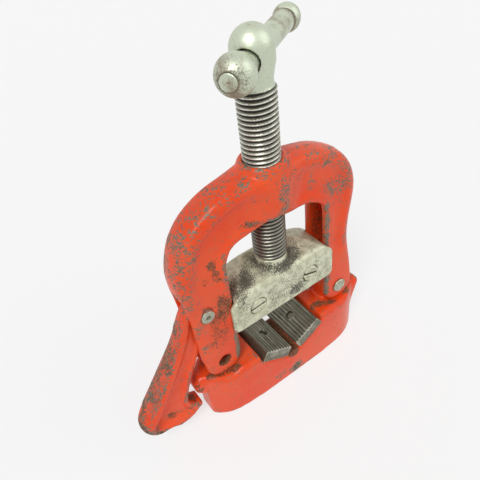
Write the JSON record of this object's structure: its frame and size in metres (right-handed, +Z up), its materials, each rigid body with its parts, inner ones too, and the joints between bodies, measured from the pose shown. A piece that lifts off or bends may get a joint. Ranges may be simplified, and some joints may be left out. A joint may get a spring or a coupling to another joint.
{
  "type": "yoke pipe vise",
  "caption": "Bench yoke pipe vise: hinged arch with drop latch over a base with toothed V jaws, and a screw with sliding bar handle driving a jaw holder down.",
  "frame": {"origin": "middle of the base's underside, on the screw axis, at bench height", "axes": "+Z up along the screw axis, +X to the hinged side, -X to the latch, -Y to the front that the picture shows"},
  "size_m": [0.1998, 0.0633, 0.2609],
  "materials": {
    "paint": "worn red-orange enamel over cast iron",
    "steel": "worn bright steel with a brown tint",
    "bare_iron": "bare grey-green casting with grease specks",
    "hard_steel": "dark hardened steel"
  },
  "bodies": {
    "base_body": {"base": "paint", "lower_jaw_left": "hard_steel", "lower_jaw_right": "hard_steel", "lower_jaw_screw_left": "hard_steel", "lower_jaw_screw_right": "hard_steel"},
    "yoke_body": {"yoke": "paint", "hinge_pin": "steel", "latch_pin": "steel"},
    "latch_body": {"latch": "paint"},
    "holder_body": {"jaw_holder": "bare_iron", "upper_jaw_left": "hard_steel", "upper_jaw_right": "hard_steel", "cross_screw_left": "steel", "cross_screw_right": "steel", "swivel_pin_left": "steel", "swivel_pin_right": "steel"},
    "screw_body": {"screw": "steel"},
    "handle_body": {"handle_bar": "steel", "handle_ball": "steel", "handle_knob": "steel"}
  },
  "joints": [
    {"name": "yoke_swing", "type": "hinge", "parent": "base_body", "child": "yoke_body", "pos_m": [0.053, 0, 0.058], "axis": [0, 1, 0], "range_deg": [0, 72]},
    {"name": "latch_swing", "type": "hinge", "parent": "yoke_body", "child": "latch_body", "pos_m": [-0.058, 0, 0.107], "axis": [0, 1, 0], "range_deg": [-3, 60]},
    {"name": "jaw_slide", "type": "slide", "parent": "yoke_body", "child": "holder_body", "axis": [0, 0, 1], "range_m": [-0.023, 0.03]},
    {"name": "screw_turn", "type": "hinge", "parent": "holder_body", "child": "screw_body", "pos_m": [0, 0, 0.12], "axis": [0, 0, 1], "range_deg": [-2930, 3820]},
    {"name": "handle_slide", "type": "slide", "parent": "screw_body", "child": "handle_body", "axis": [-0.829, -0.5592, 0], "range_m": [-0.002, 0.04]}
  ],
  "couplings": [
    {"joint": "jaw_slide", "follows": "screw_turn", "m_per_rad": 0.00044914}
  ]
}
